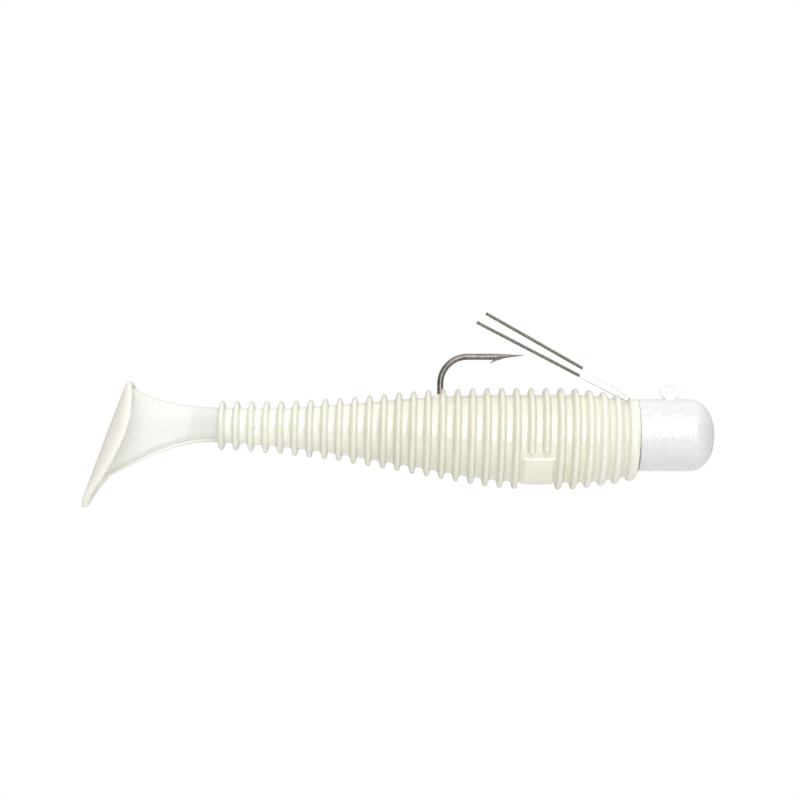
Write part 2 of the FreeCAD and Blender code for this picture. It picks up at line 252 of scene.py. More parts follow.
def scaled(nodes, links, source, low_value, high_value):
    made = node(nodes, "ShaderNodeMapRange", {"To Min": low_value, "To Max": high_value})
    links.new(source, made.inputs["Value"])
    return made.outputs["Result"]


def math_node(nodes, links, operation, first, second=None):
    made = node(nodes, "ShaderNodeMath", operation=operation)
    for socket, value in zip(made.inputs, (first, second)):
        if value is None:
            continue
        if isinstance(value, (int, float)):
            socket.default_value = value
        else:
            links.new(value, socket)
    return made.outputs["Value"]


def mixed(nodes, links, factor, first, second):
    """A colour mix; factor, first and second are sockets or plain values."""
    made = node(nodes, "ShaderNodeMix", data_type="RGBA", blend_type="MIX")
    for socket, value in ((made.inputs[0], factor), (made.inputs[6], first), (made.inputs[7], second)):
        if hasattr(value, "is_output"):
            links.new(value, socket)
        elif isinstance(value, tuple):
            socket.default_value = (*value, 1.0)
        else:
            socket.default_value = value
    return made.outputs[2]


def bump(nodes, links, height, strength, distance, target, after=None):
    made = node(nodes, "ShaderNodeBump", {"Strength": strength, "Distance": distance})
    links.new(height, made.inputs["Height"])
    if after is not None:
        links.new(after.outputs["Normal"], made.inputs["Normal"])
    links.new(made.outputs["Normal"], target.inputs["Normal"])
    return made


def let_light_through(nodes, links, shader, colour, share, skin):
    """Soft plastic: a share of the light, a number or a socket, passes into it; skin is its bump."""
    inner = nodes.new("ShaderNodeBsdfTranslucent")
    links.new(colour, inner.inputs["Color"])
    links.new(skin.outputs["Normal"], inner.inputs["Normal"])
    mix = nodes.new("ShaderNodeMixShader")
    if isinstance(share, float):
        mix.inputs["Fac"].default_value = share
    else:
        links.new(share, mix.inputs["Fac"])
    links.new(shader.outputs["BSDF"], mix.inputs[1])
    links.new(inner.outputs["BSDF"], mix.inputs[2])
    links.new(mix.outputs["Shader"], nodes["Material Output"].inputs["Surface"])


def flake_specks(nodes, links, where, scale, share, size):
    """A mask of small flakes, one in each of a share of the cells of a 3-D pattern."""
    cells = node(nodes, "ShaderNodeTexVoronoi", {"Scale": scale, "Randomness": 1.0})
    links.new(where, cells.inputs["Vector"])
    near = math_node(nodes, links, "LESS_THAN", cells.outputs["Distance"], size)
    pick = node(nodes, "ShaderNodeSeparateColor")
    links.new(cells.outputs["Color"], pick.inputs["Color"])
    chosen = math_node(nodes, links, "LESS_THAN", pick.outputs["Red"], share)
    return math_node(nodes, links, "MULTIPLY", near, chosen)


def pearl_plastic():
    """Translucent ivory plastisol, paler towards the tail, with painted khaki shade in the grooves and
    painted light on the rib flanks and crests.
    """
    material, nodes, links, shader = new_material("pearl_plastic")
    where = nodes.new("ShaderNodeTexCoord").outputs["Object"]
    relief = node(nodes, "ShaderNodeAttribute", attribute_name="relief").outputs["Fac"]
    slim = node(nodes, "ShaderNodeAttribute", attribute_name="slim").outputs["Fac"]
    # colour by rib height: painted shade, dark khaki, in the grooves and painted light on the rib flanks,
    # where the ribs' own shading falls
    full = ramp(nodes, links, relief, ((0.0, (0.635, 0.61, 0.485)), (0.14, (0.69, 0.67, 0.56)),
                                       (0.35, (0.84, 0.83, 0.74)), (0.75, (0.82, 0.81, 0.715)),
                                       (1.0, (0.785, 0.775, 0.675)))).outputs["Color"]
    base = mixed(nodes, links, math_node(nodes, links, "MULTIPLY", slim, 0.6), full, (0.84, 0.845, 0.785))
    cloud = node(nodes, "ShaderNodeTexNoise", {"Scale": 260.0, "Detail": 4.0, "Roughness": 0.55})
    links.new(where, cloud.inputs["Vector"])
    cloudy = mixed(nodes, links, scaled(nodes, links, cloud.outputs["Fac"], 0.0, 0.30), base,
                   (0.80, 0.79, 0.72))
    grain = node(nodes, "ShaderNodeTexNoise", {"Scale": 5200.0, "Detail": 2.0})
    links.new(where, grain.inputs["Vector"])
    shimmer = mixed(nodes, links, scaled(nodes, links, grain.outputs["Fac"], 0.0, 0.14), cloudy,
                    (0.88, 0.87, 0.81))
    # a row of tiny beads along the crests of the front ribs: bumped, and each given a painted white
    # highlight
    around = node(nodes, "ShaderNodeAttribute", attribute_name="around").outputs["Fac"]
    beaded = node(nodes, "ShaderNodeAttribute", attribute_name="beaded").outputs["Fac"]
    turns = math_node(nodes, links, "MULTIPLY", around, 2 * math.pi / BEAD_SPACING)
    wave = math_node(nodes, links, "SINE", turns)
    beads = math_node(nodes, links, "MULTIPLY", scaled(nodes, links, wave, 0.0, 1.0), beaded)
    # painted highlight: the beads' colour is pulled towards white
    pale = math_node(nodes, links, "MULTIPLY", beads, 0.9)
    bead_highlighted = mixed(nodes, links, pale, shimmer, (1.0, 1.0, 0.98))
    specks = flake_specks(nodes, links, where, 210.0, 0.10, 0.022)
    colour = mixed(nodes, links, specks, bead_highlighted, (0.16, 0.15, 0.13))
    links.new(colour, shader.inputs["Base Color"])
    links.new(scaled(nodes, links, grain.outputs["Fac"], 0.28, 0.42), shader.inputs["Roughness"])
    shader.inputs["IOR"].default_value = 2.1
    shader.inputs["Coat Weight"].default_value = 1.0
    shader.inputs["Coat IOR"].default_value = 1.8
    shader.inputs["Coat Roughness"].default_value = 0.17
    grained = bump(nodes, links, grain.outputs["Fac"], 0.16, 0.00003, shader)
    skin = bump(nodes, links, beads, 1.0, 0.00005, shader, grained)
    let_light_through(nodes, links, shader, colour, scaled(nodes, links, relief, 0.26, 0.50), skin)
    return material


def tail_plastic():
    """The same plastic moulded thin: whiter and clearer, with silver glitter, and painted shade in the
    crease above the bead and along the upper edge.
    """
    material, nodes, links, shader = new_material("tail_plastic")
    where = nodes.new("ShaderNodeTexCoord").outputs["Object"]
    thick = node(nodes, "ShaderNodeAttribute", attribute_name="thick").outputs["Fac"]
    crease_shade = node(nodes, "ShaderNodeAttribute", attribute_name="crease_shade").outputs["Fac"]
    base = ramp(nodes, links, thick, ((0.0, (0.755, 0.755, 0.735)), (0.5, (0.79, 0.785, 0.75)),
                                      (1.0, (0.84, 0.825, 0.77)))).outputs["Color"]
    cloud = node(nodes, "ShaderNodeTexNoise", {"Scale": 420.0, "Detail": 5.0, "Roughness": 0.6})
    links.new(where, cloud.inputs["Vector"])
    cloudy = mixed(nodes, links, scaled(nodes, links, cloud.outputs["Fac"], 0.0, 0.3), base,
                   (0.75, 0.75, 0.735))
    silver = flake_specks(nodes, links, where, 2600.0, 0.5, 0.36)
    glitter = mixed(nodes, links, math_node(nodes, links, "MULTIPLY", silver, 0.14), cloudy,
                    (0.55, 0.56, 0.57))
    # painted shade: a grey line in the crease above the lower bead and another along the upper edge
    shade = math_node(nodes, links, "MULTIPLY", crease_shade, 0.55)
    crease_shaded = mixed(nodes, links, shade, glitter, (0.50, 0.49, 0.45))
    specks = flake_specks(nodes, links, where, 260.0, 0.10, 0.025)
    colour = mixed(nodes, links, specks, crease_shaded, (0.2, 0.19, 0.18))
    links.new(colour, shader.inputs["Base Color"])
    links.new(scaled(nodes, links, cloud.outputs["Fac"], 0.22, 0.40), shader.inputs["Roughness"])
    shader.inputs["IOR"].default_value = 1.5
    shader.inputs["Coat Weight"].default_value = 0.35
    shader.inputs["Coat Roughness"].default_value = 0.15
    skin = bump(nodes, links, cloud.outputs["Fac"], 0.08, 0.00004, shader)
    let_light_through(nodes, links, shader, colour, 0.40, skin)
    return material


def white_paint(name, dark, middle, bright):
    """White pearl powder paint with a fine silver sparkle; the three values set how pale it is."""
    material, nodes, links, shader = new_material(name)
    where = nodes.new("ShaderNodeTexCoord").outputs["Object"]
    cells = node(nodes, "ShaderNodeTexVoronoi", {"Scale": 5200.0, "Randomness": 1.0})
    links.new(where, cells.inputs["Vector"])
    split = node(nodes, "ShaderNodeSeparateColor")
    links.new(cells.outputs["Color"], split.inputs["Color"])
    sparkle = split.outputs["Green"]
    peel = node(nodes, "ShaderNodeTexNoise", {"Scale": 900.0, "Detail": 3.0})
    links.new(where, peel.inputs["Vector"])
    flecked = ramp(nodes, links, sparkle, ((0.0, (dark, dark, dark)), (0.35, (middle, middle, middle)),
                                           (1.0, (bright, bright, bright)))).outputs["Color"]
    colour = mixed(nodes, links, scaled(nodes, links, peel.outputs["Fac"], 0.3, 0.7), flecked,
                   (middle + 0.04, middle + 0.04, middle + 0.035))
    links.new(colour, shader.inputs["Base Color"])
    links.new(scaled(nodes, links, sparkle, 0.30, 0.55), shader.inputs["Roughness"])
    links.new(scaled(nodes, links, sparkle, 0.0, 0.25), shader.inputs["Metallic"])
    shader.inputs["Coat Weight"].default_value = 0.5
    shader.inputs["Coat Roughness"].default_value = 0.18
    bump(nodes, links, peel.outputs["Fac"], 0.15, 0.00004, shader)
    return material


def hook_steel():
    """Black-nickel hook wire with slight tarnish."""
    material, nodes, links, shader = new_material("hook_steel")
    where = nodes.new("ShaderNodeTexCoord").outputs["Object"]
    tarnish = node(nodes, "ShaderNodeTexNoise", {"Scale": 1500.0, "Detail": 5.0, "Roughness": 0.6})
    links.new(where, tarnish.inputs["Vector"])
    colour = ramp(nodes, links, tarnish.outputs["Fac"], ((0.25, (0.09, 0.08, 0.073)),
                                                         (0.5, (0.165, 0.15, 0.14)),
                                                         (0.8, (0.27, 0.25, 0.235)))).outputs["Color"]
    links.new(colour, shader.inputs["Base Color"])
    shader.inputs["Metallic"].default_value = 1.0
    links.new(scaled(nodes, links, tarnish.outputs["Fac"], 0.08, 0.26), shader.inputs["Roughness"])
    bump(nodes, links, tarnish.outputs["Fac"], 0.1, 0.00002, shader)
    return material


def guard_cable():
    """Dull twisted stainless strand, dark between the strands."""
    material, nodes, links, shader = new_material("guard_cable")
    where = nodes.new("ShaderNodeTexCoord").outputs["Object"]
    wear = node(nodes, "ShaderNodeTexNoise", {"Scale": 2600.0, "Detail": 4.0, "Roughness": 0.65})
    links.new(where, wear.inputs["Vector"])
    colour = ramp(nodes, links, wear.outputs["Fac"], ((0.25, (0.12, 0.107, 0.085)),
                                                      (0.5, (0.19, 0.175, 0.15)),
                                                      (0.8, (0.29, 0.275, 0.25)))).outputs["Color"]
    links.new(colour, shader.inputs["Base Color"])
    shader.inputs["Metallic"].default_value = 1.0
    links.new(scaled(nodes, links, wear.outputs["Fac"], 0.34, 0.5), shader.inputs["Roughness"])
    bump(nodes, links, wear.outputs["Fac"], 0.12, 0.00002, shader)
    return material


def floor_card():
    """Matt white studio card."""
    material, nodes, links, shader = new_material("floor_card")
    where = nodes.new("ShaderNodeTexCoord").outputs["Object"]
    fibre = node(nodes, "ShaderNodeTexNoise", {"Scale": 90.0, "Detail": 6.0})
    links.new(where, fibre.inputs["Vector"])
    colour = ramp(nodes, links, fibre.outputs["Fac"], ((0.3, (0.80, 0.80, 0.79)),
                                                       (0.7, (0.86, 0.86, 0.85)))).outputs["Color"]
    links.new(colour, shader.inputs["Base Color"])
    shader.inputs["Roughness"].default_value = 0.9
    return material


PEARL = pearl_plastic()
TAIL = tail_plastic()
# the head, the eye and the guard roots carry one white paint: the eye, its foot and the painted wire
# lengths get a lighter copy of it, painted light, and the head a darker copy, painted shade
PAINT = white_paint("head_paint", 0.38, 0.48, 0.60)
WIRE_PAINT_LIGHTER_COPY = white_paint("wire_paint_lighter_copy", 0.66, 0.78, 0.88)
STEEL = hook_steel()
CABLE = guard_cable()


# ------------------------------------------------------------------ ribbed body

RIB_COUNT = 29
PANEL_RIBS = (21, 22)
# half width of each rib's foot; the front ribs are broader
FOOT = {i: 0.58 * MM for i in range(RIB_COUNT)}
FOOT.update({23: 0.62 * MM, 24: 0.65 * MM, 25: 0.71 * MM, 26: 0.78 * MM, 27: 0.80 * MM, 28: 0.84 * MM})
HEIGHT = {i: 1.17 * MM for i in range(RIB_COUNT)}
HEIGHT.update({24: 1.09 * MM, 25: 0.92 * MM, 26: 0.86 * MM, 27: 0.91 * MM, 28: 0.97 * MM})
# the panel between two whole ribs: the short ribs' ends and its own edge, as angles from the top
RIB_STOP = math.radians(104)
PANEL_EDGE = math.radians(115)
RIB_STOP_RADIUS = 8.2 * MM
PANEL_RADIUS = 7.2 * MM
PANEL_HEIGHT = 0.33 * MM
PANEL_END = 0.75 * MM


def core_radius(x):
    """Radius between the ribs: it swells from the tail to the belly and tapers before the head."""
    swell = np.clip((x - (rib_x(0) - 3.36 * MM)) / (54.0 * MM), 0, 1)
    taper = np.clip((x - (HEAD_BACK - 10.3 * MM)) / (9.0 * MM), 0, None)
    return (2.75 + 4.24 * np.sin(swell * math.pi / 2) ** 2.5 - 1.3 * taper ** 2) * MM


def rib_profile(number):
    """Half of a rib's outline, from its crest outwards: distances from its centre and heights."""
    foot, height = FOOT[number], HEIGHT[number]
    tip = 0.72 * foot
    crown = min(1.15 * tip, height - 0.25 * MM)
    turn = np.radians(np.array([0, 13, 26, 39, 52, 65, 78]))
    out = list(tip * np.sin(turn))
    up = list(height - crown + crown * np.cos(turn))
    out += [tip + (foot - tip) * 0.42, foot * 0.96, foot + 0.06 * MM, foot + 0.17 * MM]
    up += [(height - crown) * 0.62, 0.20 * MM, 0.07 * MM, 0.0]
    return np.array(out), np.array(up)


def stations(first, last):
    """Positions along the axis, rib numbers and offsets from each rib's centre, tail end first."""
    place, number = [rib_x(first)], [int(math.ceil(first))]
    for i in range(int(math.ceil(first)), int(math.floor(last)) + 1):
        out, _ = rib_profile(i)
        offsets = np.concatenate([-out[::-1], out[1:]])
        place += list(rib_x(i) + offsets)
        number += [i] * len(offsets)
        if i + 0.5 <= last:
            reach = rib_x(i + 1) - rib_x(i) - out[-1] - rib_profile(min(i + 1, RIB_COUNT - 1))[0][-1]
            groove = rib_x(i) + out[-1] + np.array([0.3, 0.7]) * max(reach, 0.1 * MM)
            if i + 0.5 < last:
                place += list(groove)
                number += [i, i]
            else:
                place.append(rib_x(last))
                number.append(i)
    return np.array(place), np.array(number)


def body_angles():
    """Angles round the body from the top, closer together at the belly panel's edges."""
    count = 170 if FINE else 72
    even = np.linspace(0, 2 * math.pi, count, endpoint=False)
    if not FINE:
        return even
    extra = []
    for edge in (RIB_STOP, PANEL_EDGE):
        near = edge + np.linspace(-0.075, 0.075, 14)
        extra += list(near) + list(2 * math.pi - near)
    angles = np.array(sorted(list(even) + extra))
    keep = np.concatenate([[True], np.diff(angles) > 0.004])
    return angles[keep]


def surface_radius(x, number, angle):
    """Radius and relief of the body's surface; x and number are columns, angle a row."""
    core = core_radius(x)
    offset = np.abs(x - rib_x(number))
    rib = np.zeros(np.broadcast(x, angle).shape)
    fold = np.minimum(angle, 2 * math.pi - angle)
    for i in np.unique(number):
        out, up = rib_profile(i)
        rows = (number == i)[:, 0]
        away = np.repeat(offset[rows], angle.shape[1], axis=1)
        if i in PANEL_RIBS:
            past = np.clip((fold - RIB_STOP) * RIB_STOP_RADIUS, 0, None)
            away = np.hypot(away, np.repeat(past, rows.sum(), axis=0))
        rib[rows] = np.interp(away, out, up)
    radius = core + rib
    relief = np.clip(rib / (1.25 * MM), 0, 1)
    # the smooth panel stands above the core between two whole ribs
    from_ends = np.minimum(x - (rib_x(20) + PANEL_END), (rib_x(23) - PANEL_END) - x)
    from_edge = (fold - PANEL_EDGE) * PANEL_RADIUS
    rise = smooth(from_ends, 0, PANEL_END) ** 0.6 * smooth(from_edge, -0.10 * MM, 0.26 * MM)
    panel = core + PANEL_HEIGHT * rise
    # the panel's low relief gives it the pearl plastic's painted groove shade
    return np.maximum(radius, panel), np.maximum(relief, 0.06 * rise)


def place_rings(x, radius, angle):
    """Points of rings square to the tilted body axis."""
    up = radius * np.cos(angle)
    return np.stack([x + up * math.sin(RIB_TILT), radius * np.sin(angle),
                     axis_z(x) + up * math.cos(RIB_TILT)], axis=-1)


def exit_pucker(points):
    """Plastic pushed up round the hook wire where it comes out of the back."""
    heel = low("hook")[0] + HOOK_WIRE
    away = np.hypot(points[..., 0] - (heel - 0.35 * MM), points[..., 1])
    lift = 0.55 * MM * np.exp(-(away / (0.75 * MM)) ** 2)
    top = points[..., 2] > axis_z(points[..., 0])
    points[..., 2] += np.where(top, lift, 0)
    return points


def capped_rings(name, rings, material, attributes, flip=False):
    """A closed skin from rings of points, with a flat cap and a sharp edge at each end."""
    count, columns = rings.shape[:2]
    flat, faces = closed_grid(rings.reshape(-1, 3), count, columns, flip)
    values = {key: np.concatenate([value.reshape(-1), [0.0, 0.0]]) for key, value in attributes.items()}
    ends = ((0, columns), ((count - 1) * columns, count * columns))
    return add_mesh(name, flat, faces, material, None, values, ends)


def skin_attributes(x, number, relief, angle):
    """Per-point values that the pearl plastic reads: relief, way round, beading and slimness."""
    shape = relief.shape
    on_crest = 1 - smooth(np.abs(x - rib_x(number)), 0.12 * MM, 0.26 * MM)
    return {
        "relief": relief,
        "around": np.broadcast_to(angle * BEAD_CIRCLE, shape),
        "beaded": (relief > 0.4) * on_crest * smooth(number.astype(float), 20.4, 22.6),
        "slim": np.broadcast_to(1 - smooth(x, rib_x(1), rib_x(17)), shape),
    }


def body_piece(name, first, last, nodes, blend, lip=False):
    """One length of the ribbed skin, from one groove to another; the front one ends in a lip."""
    x, number = stations(first, last)
    angle = body_angles()[None, :]
    x, number = x[:, None], number[:, None]
    radius, relief = surface_radius(x, number, angle)
    if lip:
        # the front shoulder turns in against the back of the head
        turn = np.radians(np.linspace(0, 90, 14))
        start = rib_x(28) + 0.05 * MM
        crest = core_radius(rib_x(28)) + HEIGHT[28]
        rows = x[:, 0] < start
        shoulder_x = start + (HEAD_BACK - start) * np.sin(turn)
        shoulder_r = np.full(len(turn), crest)
        x = np.concatenate([x[rows], shoulder_x[:, None]])
        radius = np.concatenate([radius[rows], np.repeat(shoulder_r[:, None], angle.shape[1], axis=1)])
        relief = np.concatenate([relief[rows], np.repeat((0.75 - 0.5 * np.sin(turn))[:, None],
                                                         angle.shape[1], axis=1)])
        number = np.concatenate([number[rows], np.full((len(turn), 1), 28)])
    points = exit_pucker(place_rings(x, radius, angle))
    if lip:
        # the shoulder ends flush with the edge of the head, whose axis is a little higher
        share = (1 - np.cos(turn) ** 0.85)[:, None]
        shoulder = points[-len(turn):]
        edge = HEAD_RADIUS - 0.08 * MM
        shoulder[..., 1] += (edge * np.sin(angle) - shoulder[..., 1]) * share
        shoulder[..., 2] += (HEAD_AXIS + edge * np.cos(angle) - shoulder[..., 2]) * share
        points[..., 0] = np.minimum(points[..., 0], HEAD_BACK - 0.02 * MM)
    values = skin_attributes(x, number, relief, angle)
    obj = capped_rings(name, points, PEARL, values, True)
    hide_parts(*nodes)
    a, b, start, end = blend
    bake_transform(obj)


body_piece("body_skin_front", 12.5, 28.49, ["body_front"],
           ("rig", "rear_1", rib_x(14.62), rib_x(12.55)), lip=True)
body_piece("body_skin_1", 10.5, 12.5, ["body_section_1"],
           ("rear_1", "rear_2", rib_x(12.45), rib_x(10.55)))
body_piece("body_skin_2", 6.5, 10.5, ["body_section_2"],
           ("rear_2", "rear_3", rib_x(10.3), rib_x(6.7)))
body_piece("body_skin_3", 4.5, 6.5, ["body_section_3"],
           ("rear_3", "rear_4", rib_x(6.45), rib_x(4.55)))
body_piece("body_skin_4", 0.5, 4.5, ["body_section_4"],
           ("rear_4", "rear_5", rib_x(4.3), rib_x(0.7)))


# ------------------------------------------------------------------ tail stem and paddle

STEM_JOINT = JOINTS["stem_sway"]
PADDLE_JOINT = JOINTS["paddle_sway"]
ROOT_X = rib_x(0) + 0.1 * MM
# the stem's lower and upper edges: distances behind its root, and heights
LOWER = np.array([(0.0, -8.25), (2.0, -8.28), (4.4, -8.39), (6.8, -8.87), (9.2, -9.59), (11.6, -10.5),
                  (14.0, -11.65), (16.4, -12.83), (18.3, -13.79), (19.4, -14.55), (20.2, -15.2)]) * MM
UPPER = np.array([(0.0, -2.78), (1.0, -2.75), (4.4, -2.53), (7.3, -2.17), (9.2, -1.74), (10.4, -1.38),
                  (12.5, -0.54), (14.0, 0.23), (15.0, 0.75)]) * MM
# half thicknesses of the stem: its root, its blade and the bead along the blade's lower edge
STEM_ROOT = 2.55 * MM
STEM_BLADE = 0.95 * MM
STEM_BEAD = 0.33 * MM
# the fillet between the blade and the paddle: its width on each side, and how soon it dies out
FILLET = 1.3 * MM
FILLET_REACH = 0.6
PADDLE_LOW = low("tail_paddle")
PADDLE_HIGH = high("tail_paddle")
PADDLE_TILT = math.radians(20.6)
PADDLE_HALF = 10.82 * MM
PADDLE_WIDE = (PADDLE_HIGH[1] - PADDLE_LOW[1]) / 2
# the radius that the paddle's face is cupped to
PADDLE_CUP = 10.5 * MM
PADDLE_THICK = 1.4 * MM
PADDLE_CENTRE = np.array([-89.97 * MM, 0.0, -8.65 * MM])


def resample(line, count):
    """count points along a polyline, smoothed, as (distance behind the root, height)."""
    length = np.concatenate([[0], np.cumsum(np.linalg.norm(np.diff(line, axis=0), axis=1))])
    wanted = np.linspace(0, 1, count) * length[-1]
    fine = np.linspace(0, length[-1], 400)
    out = []
    for axis in range(2):
        values = np.interp(fine, length, line[:, axis])
        kernel = np.hanning(61)
        kernel /= kernel.sum()
        before = 2 * values[0] - values[60:0:-1]
        after = 2 * values[-1] - values[-2:-62:-1]
        padded = np.concatenate([before, values, after])
        values_smooth = np.convolve(padded, kernel, mode="same")[60:-60]
        out.append(np.interp(wanted, fine, values_smooth))
    return np.stack(out, axis=1)


def blade_half(s, from_low, from_high, height):
    """Half thickness of the stem: an oval root thinning to a blade with a bead along its lower edge."""
    root = STEM_ROOT * (1 - smooth(s, 0.0, 0.30)) + STEM_BLADE * smooth(s, 0.0, 0.30)
    oval = np.clip(1 - ((from_low - from_high) / height) ** 2, 0, None) ** 0.5 * root
    # the blade is thin at its upper edge and swells towards the middle
    crown = np.clip(from_high / (0.42 * height), 0, 1)
    blade = root * (0.30 + 0.70 * np.sin(crown * math.pi / 2))
    blade = blade * np.sqrt(np.clip(1 - np.clip(1 - from_high / (0.22 * MM), 0, 1) ** 2, 0, 1))
    rim = np.sqrt(np.clip(STEM_BEAD ** 2 - (from_low - STEM_BEAD) ** 2, 0, None)) * 1.9
    inner = blade * (0.50 + 0.50 * smooth(from_low, 0.62 * MM, 1.7 * MM)) * (from_low > STEM_BEAD)
    beaded = np.maximum(rim, inner)
    weight = smooth(s, 0.02, 0.20)
    return oval * (1 - weight) + beaded * weight


def stem_rings(count, columns):
    """Rings of the stem from its root to the paddle."""
    lower = resample(LOWER, count)
    upper = resample(UPPER, count)
    s = np.linspace(0, 1, count)
    angle = np.linspace(0, 2 * math.pi, columns, endpoint=False)
    # points crowd towards both edges
    share = (1 - np.cos(angle)) / 2
    side = np.where(angle <= math.pi, -1.0, 1.0)
    rings, thick, crease_shade = [], [], []
    for i in range(count):
        run = lower[i] + (upper[i] - lower[i]) * share[:, None]
        height = np.linalg.norm(upper[i] - lower[i])
        from_low = share * height
        from_high = (1 - share) * height
        half = blade_half(s[i], from_low, from_high, height)
        # the fillet where the blade grows out of the paddle's cupped face
        to_paddle = (1 - s[i]) * 19.0 - 1.0
        flare = FILLET * np.exp(-max(to_paddle, 0) / FILLET_REACH)
        half = half + flare * np.clip(np.minimum(from_low, from_high) / (1.2 * MM), 0, 1)
        half = half * np.where((share < 1e-6) | (share > 1 - 1e-6), 0, 1)
        rings.append(np.stack([ROOT_X - run[:, 0], side * half, run[:, 1]], axis=1))
        bead = 1 - smooth(from_low, 0.55 * MM, 0.78 * MM)
        thick.append(np.clip(bead + 0.4 * np.exp(-s[i] * 14) + smooth(s[i], 0.86, 0.96), 0, 1))
        # painted shade lines: one in the crease above the bead, one along the upper edge, both fading out
        # before the paddle
        line = np.exp(-((from_low - 0.74 * MM) / (0.13 * MM)) ** 2) * (1 - smooth(s[i], 0.90, 0.97))
        upper_edge_shade = 0.8 * np.exp(-from_high / (0.16 * MM)) * (1 - smooth(s[i], 0.9, 1.0))
        crease_shade.append(np.maximum(line, upper_edge_shade))
    return np.array(rings), {"thick": np.array(thick), "crease_shade": np.array(crease_shade)}


def paddle_disc():
    """The cupped paddle: an egg-shaped disc, narrower below, with a rounded rim."""
    steps, columns = (56, 200) if FINE else (16, 72)
    rho = np.sin(np.linspace(0, math.pi / 2, steps))
    angle = np.linspace(0, 2 * math.pi, columns, endpoint=False)
    long_way = np.array([math.sin(PADDLE_TILT), 0, math.cos(PADDLE_TILT)])
    forward = np.array([math.cos(PADDLE_TILT), 0, -math.sin(PADDLE_TILT)])
    rings = []
    for side in (1, -1):
        order = rho if side == 1 else rho[::-1][1:]
        for value in order:
            value = max(value, 0.004)
            up = value * np.cos(angle)
            along = PADDLE_HALF * up
            across = PADDLE_WIDE * value * np.sin(angle) * (1 + 0.35 * up) / 1.054
            half = PADDLE_THICK / 2 * (1 - 0.12 * value ** 2) * (1 - value ** 22) ** 0.5
            cup = across ** 2 / (2 * PADDLE_CUP) * (0.2 + 0.8 * smooth(up, -1.0, -0.45))
            rings.append(PADDLE_CENTRE + along[:, None] * long_way
                         + across[:, None] * np.array([0, 1, 0])
                         + (cup + side * half)[:, None] * forward)
    return np.array(rings)


def make_tail():
    count, columns = (170, 128) if FINE else (40, 32)
    rings, values = stem_rings(count, columns)
    split = int(np.argmin(np.abs(rings[:, 0, 0] - (STEM_JOINT[0] + PADDLE_JOINT[0]) / 2)))
    stem = capped_rings("tail_skin_stem", rings[:split + 1], TAIL,
                        {key: value[:split + 1] for key, value in values.items()})
    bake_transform(stem)
    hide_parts("tail_stem")
    blade = capped_rings("tail_skin_blade", rings[split:], TAIL,
                         {key: value[split:] for key, value in values.items()})
    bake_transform(blade)
    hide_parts("tail_stem", "tail_paddle")
    disc = paddle_disc()
    flat, faces = closed_grid(disc.reshape(-1, 3), *disc.shape[:2])
    paddle = add_mesh("tail_skin_paddle", flat, faces, TAIL, "paddle",
                      {"thick": np.ones(len(flat)), "crease_shade": np.zeros(len(flat))})
    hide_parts("tail_paddle")


def make_last_rib():
    """The last rib and the neck behind it, up to the groove where the next length starts."""
    start = -0.28
    x, number = stations(start, 0.5)
    angle = body_angles()[None, :]
    x, number = x[:, None], number[:, None]
    keep = x[:, 0] >= rib_x(start) - 1e-9
    x, number = x[keep], number[keep]
    radius, relief = surface_radius(x, number, angle)
    points = place_rings(x, radius, angle)
    values = skin_attributes(x, number, relief, angle)
    obj = capped_rings("body_skin_5", points, PEARL, values, True)
    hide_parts("body_section_5")
    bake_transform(obj)


make_last_rib()
make_tail()


# ------------------------------------------------------------------ jig head

def lathe_x(name, profile, axis, material, body, segments):
    """A body of revolution about a line along X; profile is (x, radius) from back to front."""
    angle = np.linspace(0, 2 * math.pi, segments, endpoint=False)
    rings = []
    for x, radius in profile:
        rings.append(np.stack([np.full(segments, x), radius * np.sin(angle),
                               axis + radius * np.cos(angle)], axis=1))
    flat, faces = closed_grid(np.concatenate(rings), len(profile), segments, flip=True)
    return add_mesh(name, flat, faces, material, body)


def make_head():
    """The painted head: a flat back with a small round edge, a cylinder and a blunt round nose."""
    back = HEAD_BACK + 0.02 * MM
    nose_length = 3.97 * MM
    nose_root = NOSE - nose_length
    edge = 0.16 * MM
    profile = [(back, 0.25 * HEAD_RADIUS), (back, 0.6 * HEAD_RADIUS)]
    for turn in np.radians(np.linspace(0, 90, 9)):
        profile.append((back + edge * (1 - math.cos(turn)), HEAD_RADIUS - edge * (1 - math.sin(turn))))
    for share in np.linspace(0.12, 1, 10):
        profile.append((back + edge + (nose_root - back - edge) * share, HEAD_RADIUS))
    for turn in np.radians(np.linspace(2.5, 89.2, 56)):
        profile.append((nose_root + nose_length * math.sin(turn), HEAD_RADIUS * math.cos(turn) ** 0.86))
    head = lathe_x("jig_head_painted", profile, HEAD_AXIS, PAINT, "rig",
                   200 if FINE else 72)
    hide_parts("jig_head")


make_head()


# ------------------------------------------------------------------ hook

LEG_BEND = 1.5 * MM
HEEL_BEND = 4.8 * MM
CROWN_BEND = 4.32 * MM
CROWN_Z = 5.41 * MM
POINT_X = -28.75 * MM
POINT_LENGTH = 5.42 * MM
POINT_DROP = 0.24 * MM
# a straight length of wire keeps this clear of the bend next to it
CLEAR = 0.1 * MM


